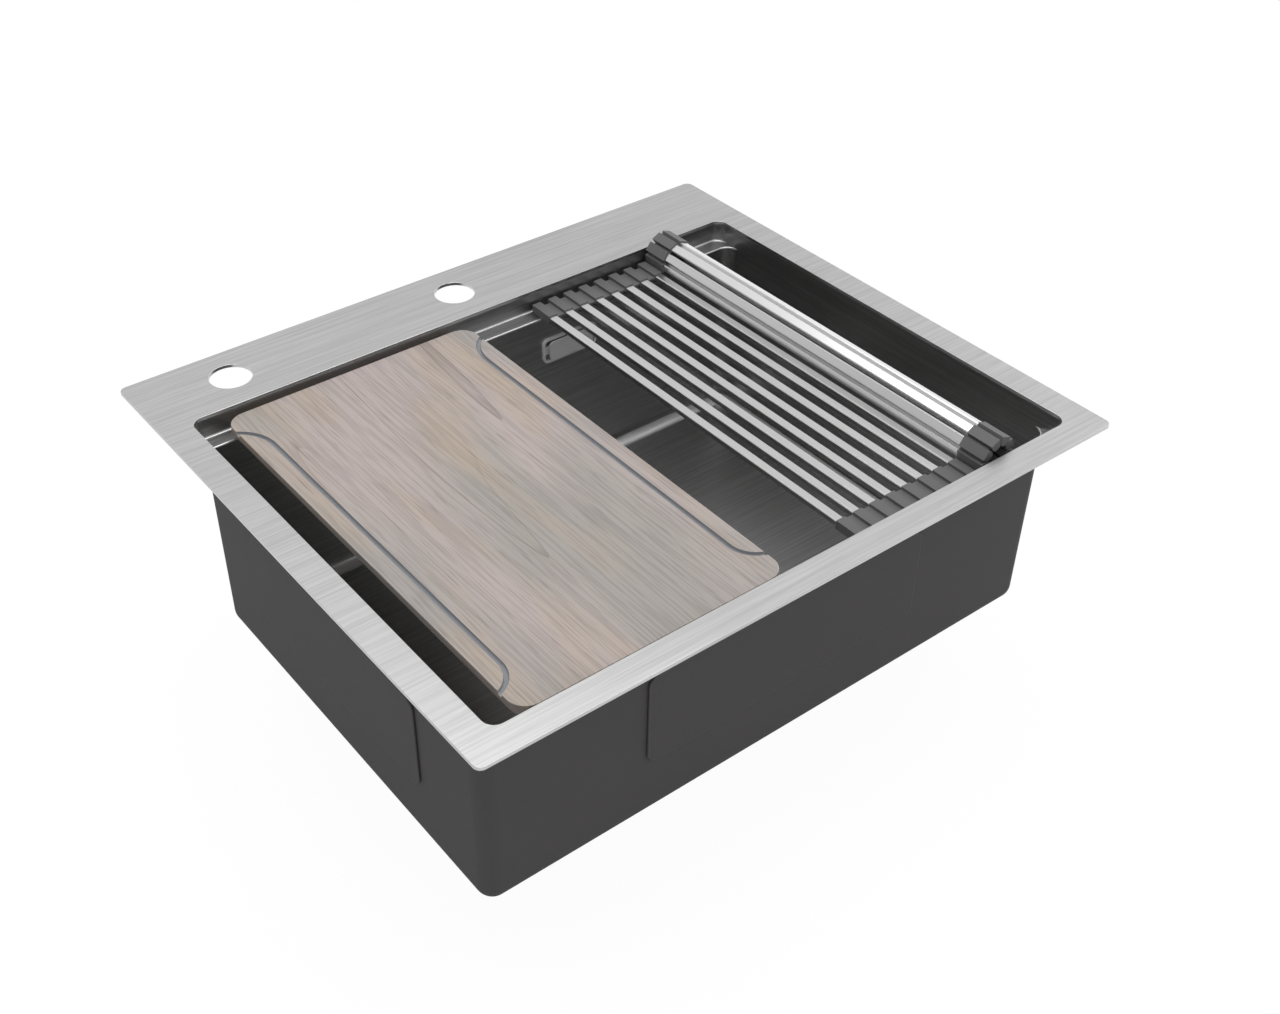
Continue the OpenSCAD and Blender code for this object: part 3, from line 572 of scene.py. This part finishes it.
def outline(half_w, front, back, radius, z):
    points = []
    corners = (
        (half_w - radius, back - radius, 0),
        (-half_w + radius, back - radius, 90),
        (-half_w + radius, front + radius, 180),
        (half_w - radius, front + radius, 270),
    )
    for index, (x, y, turn) in enumerate(corners):
        for step in range(corner_steps + 1):
            angle = math.radians(turn + 90 * step / corner_steps)
            points.append(Vector((x + radius * math.cos(angle), y + radius * math.sin(angle), z)))
        next_x, next_y = corners[(index + 1) % len(corners)][:2]
        angle = math.radians(turn + 90)
        bow = Vector((radius * math.cos(angle), radius * math.sin(angle), 0))
        here = Vector((x, y, z)) + bow
        there = Vector((next_x, next_y, z)) + bow
        for step in range(1, side_steps):
            points.append(here.lerp(there, step / side_steps))
    return points


def circle_like(points, centre, radius, z):
    ring = []
    for point in points:
        way = Vector((point.x - centre.x, point.y - centre.y, 0)).normalized()
        ring.append(Vector((centre.x + way.x * radius, centre.y + way.y * radius, z)))
    return ring


def loft(name, rings):
    count = len(rings[0])
    points = [point for ring in rings for point in ring]
    faces = []
    for level in range(len(rings) - 1):
        for index in range(count):
            after = (index + 1) % count
            a, b = level * count + index, level * count + after
            faces.append((a, a + count, b + count, b))
    mesh = bpy.data.meshes.new(name)
    mesh.from_pydata(points, [], faces)
    bm = bmesh.new()
    bm.from_mesh(mesh)
    bmesh.ops.remove_doubles(bm, verts=bm.verts, dist=weld_distance)
    bmesh.ops.dissolve_degenerate(bm, edges=bm.edges, dist=weld_distance)
    bm.to_mesh(mesh)
    bm.free()
    for face in mesh.polygons:
        face.use_smooth = True
    return mesh


# %% Bowl
bend = 1.3 * MM
wall_bend = 1.5 * MM
bend_steps = 4
fillet_steps = 9


def quarter(steps):
    return [math.radians(90 * step / steps) for step in range(steps + 1)]


def floor_turn(half_w, front, back, radius, z):
    rings = []
    for angle in quarter(fillet_steps):
        inset = radius * (1 - math.cos(angle))
        corner = max(radius * math.cos(angle), weld_distance)
        rise = radius * (1 - math.sin(angle))
        rings.append(outline(half_w - inset, front + inset, back - inset, corner, z + rise))
    return rings


def bowl_rings():
    half = opening_half
    rings = [outline(half, opening_front, opening_back, opening_corner, rim_low.z)]
    for angle in quarter(bend_steps):
        inset = wall_bend * (1 - math.cos(angle))
        z = ledge_top + wall_bend * (1 - math.sin(angle))
        rings.append(outline(half, opening_front + inset, opening_back - inset, opening_corner, z))
    for angle in quarter(bend_steps):
        inset = bend * (1 - math.sin(angle))
        z = ledge_top - bend * (1 - math.cos(angle))
        rings.append(outline(half, wall_front - inset, wall_back + inset, bowl_corner, z))
    rings += floor_turn(half, wall_front, wall_back, bowl_corner, floor_top)
    rings.append(circle_like(rings[-1], waste_centre, waste_hole, floor_top))
    return rings


# A face of a bend is neither upright, where its normal's z is 0, nor level, where it is 1.
ledge_bend_tilts = (0.05, 0.98)
floor_bend_tilts = (0.45, 0.995)


def is_bent(face):
    tilt = abs(face.normal.z)
    if abs(face.center.z - ledge_top) < wall_bend:
        return ledge_bend_tilts[0] < tilt < ledge_bend_tilts[1]
    near_floor = face.center.z - floor_top < bowl_corner
    return near_floor and floor_bend_tilts[0] < tilt < floor_bend_tilts[1]


# The sheet takes the darker steel, painted shade inside the bowl.
bowl = add_piece("bowl_sheet", loft("bowl_sheet", bowl_rings()), "bowl", shaded_bowl_steel)
# The bend faces take the lighter steel, a painted highlight along each bend.
bowl.data.materials.append(bend_highlight_steel)
for face in bowl.data.polygons:
    face.material_index = 1 if is_bent(face) else 0
thick = bowl.modifiers.new("sheet", "SOLIDIFY")
thick.thickness = sheet
thick.offset = 1
flatten_wide_faces(bowl)
print("bowl faces:", len(bowl.data.polygons))

# %% [markdown]
# ## The sprayed coat outside
# It follows the bowl's outside. A second finish on the sheet would show it, but the coat is a
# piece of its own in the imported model. So it is the same loft, one sheet further out, and gets
# its own thickness.

# %% Coat
def coat_rings():
    out = sheet + coat_skin
    half = opening_half + out
    front, back = wall_front - out, wall_back + out
    corner = bowl_corner + out
    bottom = floor_top - out
    rings = [outline(half, front, back, corner, ledge_top - sheet)]
    rings += floor_turn(half, front, back, corner, bottom)
    rings.append(circle_like(rings[-1], waste_centre, waste_hole, bottom))
    return rings


coat = add_piece("coat_skin", loft("coat_skin", coat_rings()), "undercoat", coat_finish[0])
skin = coat.modifiers.new("skin", "SOLIDIFY")
skin.thickness = coat_skin
skin.offset = -1
flatten_wide_faces(coat)
print("coat faces:", len(coat.data.polygons))

# %% [markdown]
# ## Rim, pads and small steel
# The rim is a flat plate whose cut edges are only broken. The wall of its opening is welded to
# the bowl and brushed with it, so its lower edge stays sharp and it takes the bowl's finish.
# The pads lie under the spray, so they share its finish and their edges are soft. All of these
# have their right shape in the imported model, so a rounded copy is enough.

# %% Rim and pads
rim_edge = 0.4 * MM
pad_edge = 1.2 * MM
seal_edge = 0.2 * MM
worn_highlight_slot = 1
wall_slot = 2
wall_skin = 0.1 * MM
upright_tilt = 0.5


def in_opening(spot):
    beside = abs(spot.x) < opening_half + wall_skin
    return beside and opening_front - wall_skin < spot.y < opening_back + wall_skin


def rim_share(spot):
    return 0 if in_opening(spot) and spot.z < rim_low.z + wall_skin else 1


rim = rounded("rim_deck", rim_edge, rim_steel)
# The opening's wall takes the bowl's steel, painted darker as shade.
rim.data.materials.append(shaded_bowl_steel)
# The rim's outer edge faces take the lighter worn finish: wear and a painted highlight.
for face in rim.data.polygons:
    if abs(face.normal.z) < upright_tilt:
        face.material_index = wall_slot if in_opening(face.center) else worn_highlight_slot
weigh_edges(rim, rim_share)
rounded("rim_seal", seal_edge, foam_finish)
for node in nodes:
    if node.startswith("pad_"):
        rounded(node, pad_edge, coat_finish, segments=3)
print("rounded pieces so far:", rounded_count())

# %% Overflow and waste
small_edge = 0.3 * MM
thin_edge = 0.1 * MM
rounded("overflow_frame", small_edge, frame_steel)
rounded("overflow_cover", small_edge, plate_steel)
for node in ("basket", "basket_knob", "overflow_screws"):
    rounded(node, small_edge, waste_steel)
for node in ("waste_flange", "waste_screw"):
    rounded(node, thin_edge, waste_steel)
for node in ("overflow_gasket", "waste_upper_seal", "waste_lower_seal", "basket_seal"):
    rounded(node, small_edge, rubber_finish)
for node in ("overflow_housing", "hose_nut_top", "hose_nut_bottom", "waste_body"):
    rounded(node, small_edge, plastic_finish)
for node in nodes:
    if node.startswith("clip_"):
        rounded(node, small_edge, clip_steel)
print("rounded pieces so far:", rounded_count())

# %% [markdown]
# ## The ribbed hose
# A blown hose has round ribs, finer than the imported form's two rings each. One ring repeated
# along a curve would give them, but a loft lets whole ribs fill the length exactly. The route
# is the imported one: straight down, one bend, and straight to the waste's port.

# %% Hose
hose_start_x = 82.6 * MM
hose_start_y = 183.8 * MM
hose_start_z = -83.6 * MM
port_z = -212.1 * MM
bend_radius = 45 * MM
port_end = 78 * MM
rib_outer = 12 * MM
rib_inner = 10 * MM
bore = 8.5 * MM
rib_length = 5 * MM
hose_sides = 24
rings_per_rib = 6

hose_run = math.hypot(hose_start_x, hose_start_y - waste_centre.y)
hose_turn = math.atan2(hose_start_y - waste_centre.y, hose_start_x)
hose_drop = hose_start_z - port_z - bend_radius
hose_bend = bend_radius * math.pi / 2
hose_reach = hose_run - bend_radius - port_end
hose_length = hose_drop + hose_bend + hose_reach


def hose_point(s):
    if s < hose_drop:
        return hose_run, hose_start_z - s, -math.pi / 2
    if s < hose_drop + hose_bend:
        angle = (s - hose_drop) / bend_radius
        out = hose_run - bend_radius + bend_radius * math.cos(angle)
        return out, port_z + bend_radius - bend_radius * math.sin(angle), -math.pi / 2 - angle
    return hose_run - bend_radius - (s - hose_drop - hose_bend), port_z, -math.pi


def hose_ring(s, radius):
    out, up, heading = hose_point(s)
    ring = []
    for side in range(hose_sides):
        angle = 2 * math.pi * side / hose_sides
        u, v = radius * math.cos(angle), radius * math.sin(angle)
        reach, rise = out - u * math.sin(heading), up + u * math.cos(heading)
        x = reach * math.cos(hose_turn) - v * math.sin(hose_turn)
        y = reach * math.sin(hose_turn) + v * math.cos(hose_turn)
        ring.append(Vector((x, waste_centre.y + y, rise)))
    return ring


def hose_rings():
    ribs = math.floor(hose_length / rib_length)
    total = ribs * rings_per_rib
    outside = []
    for step in range(total + 1):
        swell = (1 - math.cos(2 * math.pi * step / rings_per_rib)) / 2
        radius = rib_inner + (rib_outer - rib_inner) * math.sqrt(swell)
        outside.append(hose_ring(hose_length * step / total, radius))
    inside = [hose_ring(hose_length * step / ribs, bore) for step in range(ribs, -1, -1)]
    return outside + inside + [outside[0]]


add_piece("ribbed_hose", loft("ribbed_hose", hose_rings()), "overflow_hose", hose_finish)
print("hose length:", round(hose_length, 4))

# %% [markdown]
# ## The cutting board
# The board's edges are rounded by hand, and the grooves' edges are only broken. One bevel for
# all of them would make the grooves look worn, so bevel weights give their edges a quarter of
# it. The grooves are painted a darker grey as shade, so the faces that lie below the top and
# away from the outline get a third material.

# %% Board
board_edge = 0.7 * MM
board_corner = 15 * MM
groove_depth = 3 * MM
groove_edge_share = 0.25
groove_slot = 2
# How near the top, the outline or a groove's floor a point counts as lying on it.
top_skin = 0.05 * MM
outline_skin = 0.3 * MM
floor_skin = 0.1 * MM
board_low, board_high = span("board")
board = rounded("board", board_edge, oak_finish, segments=3)
# The groove faces take a grey that paints the shade in the grooves.
board.data.materials.append(groove_painted_shade)


def inside_outline(x, y):
    middle = (board_low + board_high) / 2
    half = (board_high - board_low) / 2
    dx = abs(x - middle.x) - half.x + board_corner
    dy = abs(y - middle.y) - half.y + board_corner
    reach = math.hypot(max(dx, 0), max(dy, 0)) + min(max(dx, dy), 0)
    return board_corner - reach


def board_edge_share(spot):
    if inside_outline(spot.x, spot.y) < outline_skin:
        return 1
    return groove_edge_share if board_high.z - spot.z < top_skin else 0


def in_groove(spot):
    inside = inside_outline(spot.x, spot.y) > outline_skin
    return inside and top_skin < board_high.z - spot.z < groove_depth + floor_skin


weigh_edges(board, board_edge_share)
for face in board.data.polygons:
    if in_groove(face.center):
        face.material_index = groove_slot
print("groove faces:", sum(face.material_index == groove_slot for face in board.data.polygons))

# %% [markdown]
# ## The rack
# Each bar is a steel tube with a silicone sleeve pushed on at both ends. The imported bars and
# sleeves have the right shape, so they are rounded like the rest, and the links of the rolled
# end each ride on their own body.

# %% Bars and sleeves
bar_edge = 0.3 * MM
sleeve_edge = 0.5 * MM
for node in nodes:
    if node == "rack_bars" or node.startswith("roll_bar"):
        rounded(node, bar_edge, bar_steel)
    elif "sleeves" in node:
        rounded(node, sleeve_edge, silicone_finish)
print("rounded pieces so far:", rounded_count())

# %% [markdown]
# ## Studio
# The picture has a white ground and soft light from above. The world is brighter towards the
# right, the back and the top, which the rim shows, and a wide lamp hangs overhead. More lamps
# would do the same, but they leave hard lights in the steel, and a ramp doesn't. Seen directly,
# the world and most of the floor are white, and the floor keeps a faint shadow.

# %% World
world = bpy.data.worlds.new("studio")
bpy.context.scene.world = world
world.use_nodes = True
tree = world.node_tree
tree.nodes.clear()
coords = put(tree, "TexCoord")
way = put(tree, "SeparateXYZ")
wire(tree, coords, "Generated", way, "Vector")


def brighter(axis, start, full, low, high):
    ramp = put(
        tree,
        "MapRange",
        {"From Min": start, "From Max": full, "To Min": low, "To Max": high},
        interpolation_type="SMOOTHSTEP",
    )
    wire(tree, way, axis, ramp, "Value")
    return ramp


sides = put(tree, "Math", operation="ADD")
sky = put(tree, "Math", operation="ADD")
to_right = brighter("X", start=0.56, full=0.84, low=0.0, high=0.84)
to_back = brighter("Y", start=0.48, full=0.78, low=0.57, high=0.91)
to_top = brighter("Z", start=0.64, full=0.74, low=0.0, high=0.13)
wire(tree, to_right, "Result", sides, 0)
wire(tree, to_back, "Result", sides, 1)
wire(tree, to_top, "Result", sky, 0)
wire(tree, sides, 0, sky, 1)
studio_light = put(tree, "Background")
wire(tree, sky, 0, studio_light, "Strength")
seen_white = put(tree, "Background", {"Strength": 1.0, "Color": (1, 1, 1, 1)})
path = put(tree, "LightPath")
choice = put(tree, "MixShader")
world_out = put(tree, "OutputWorld")
wire(tree, path, "Is Camera Ray", choice, "Fac")
wire(tree, studio_light, 0, choice, 1)
wire(tree, seen_white, 0, choice, 2)
wire(tree, choice, "Shader", world_out, "Surface")
print("world nodes:", len(tree.nodes))

# %% Floor
floor_half = 3.0
floor_gap = 0.5 * MM
floor_tone = 0.9
floor_glow = 1.03
floor_white_share = 0.93


def floor_material():
    material = bpy.data.materials.new("pale floor")
    material.use_nodes = True
    tree = material.node_tree
    tree.nodes.clear()
    matt_white = put(tree, "BsdfDiffuse", {"Color": (*[floor_tone] * 3, 1)})
    glow = put(tree, "Emission", {"Strength": floor_glow})
    path = put(tree, "LightPath")
    share = put(tree, "Math", {1: floor_white_share}, operation="MULTIPLY")
    mix = put(tree, "MixShader")
    out = put(tree, "OutputMaterial")
    wire(tree, path, "Is Camera Ray", share, 0)
    wire(tree, share, 0, mix, "Fac")
    wire(tree, matt_white, 0, mix, 1)
    wire(tree, glow, 0, mix, 2)
    wire(tree, mix, "Shader", out, "Surface")
    return material


floor_corners = [(-1, -1), (1, -1), (1, 1), (-1, 1)]
floor_points = [(x * floor_half, y * floor_half, 0) for x, y in floor_corners]
floor_mesh = bpy.data.meshes.new("floor")
floor_mesh.from_pydata(floor_points, [], [(0, 1, 2, 3)])
floor_mesh.materials.append(floor_material())
floor = bpy.data.objects.new("floor", floor_mesh)
floor.location.z = cad_low.z - floor_gap
bpy.context.scene.collection.objects.link(floor)
print("ground at", round(floor.location.z, 4))

# %% Lamp
lamp_place = (0.1, 0.1, 1.8)
lamp_aim = (0, 0, 0)
lamp_size = 1.5
lamp_power = 15


def soft_lamp(name, place, aim, size, power):
    data = bpy.data.lights.new(name, "AREA")
    data.shape = "SQUARE"
    data.size = size
    data.energy = power
    lamp = bpy.data.objects.new(name, data)
    lamp.location = place
    lamp.rotation_euler = (Vector(aim) - Vector(place)).to_track_quat("-Z", "Y").to_euler()
    bpy.context.scene.collection.objects.link(lamp)
    print("lamp", name, "at", place)


soft_lamp("overhead", lamp_place, lamp_aim, lamp_size, lamp_power)
bpy.context.scene.view_settings.view_transform = "Standard"
